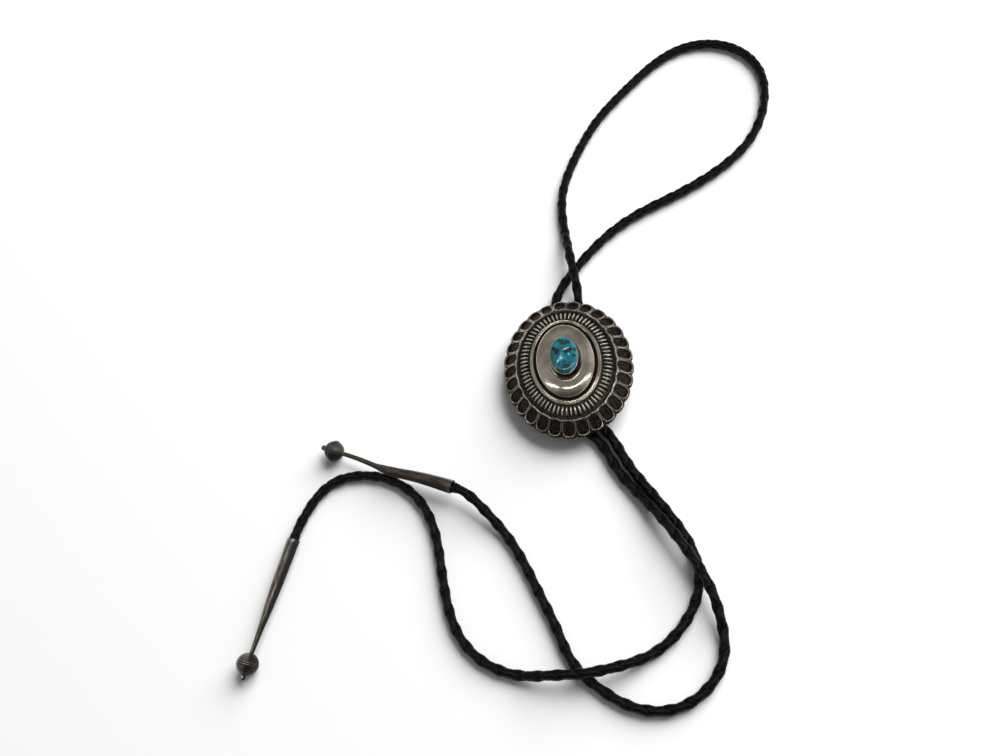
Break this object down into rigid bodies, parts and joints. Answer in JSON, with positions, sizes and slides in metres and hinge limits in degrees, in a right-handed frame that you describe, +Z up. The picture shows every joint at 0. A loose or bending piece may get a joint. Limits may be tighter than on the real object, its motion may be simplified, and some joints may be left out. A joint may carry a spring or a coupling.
{
  "type": "bolo tie",
  "caption": "Domed oval concho with scalloped border and turquoise cabochon, on a slide clasp over a braided leather cord with cone tips, lying flat.",
  "frame": {"origin": "on the table under the centre of the concho, which is the middle of the slide clasp's flat underside", "axes": "+Z up, out through the stone; +Y along the concho's long axis, towards the neck loop; +X to the wearer's left as the stone faces out"},
  "size_m": [0.2525, 0.2961, 0.0208],
  "materials": {
    "aged_silver": "oxidised silver, polished on the raised parts",
    "turquoise": "polished turquoise with dark matrix",
    "plain_silver": "plain satin silver",
    "dark_silver": "dark worn silver",
    "black_leather": "black braided leather with a slight sheen"
  },
  "bodies": {
    "root": {"concho": "aged_silver", "turquoise_stone": "turquoise", "slide_clasp": "plain_silver", "tip_a": "dark_silver", "tip_b": "dark_silver", "cord": "black_leather"}
  },
  "joints": []
}
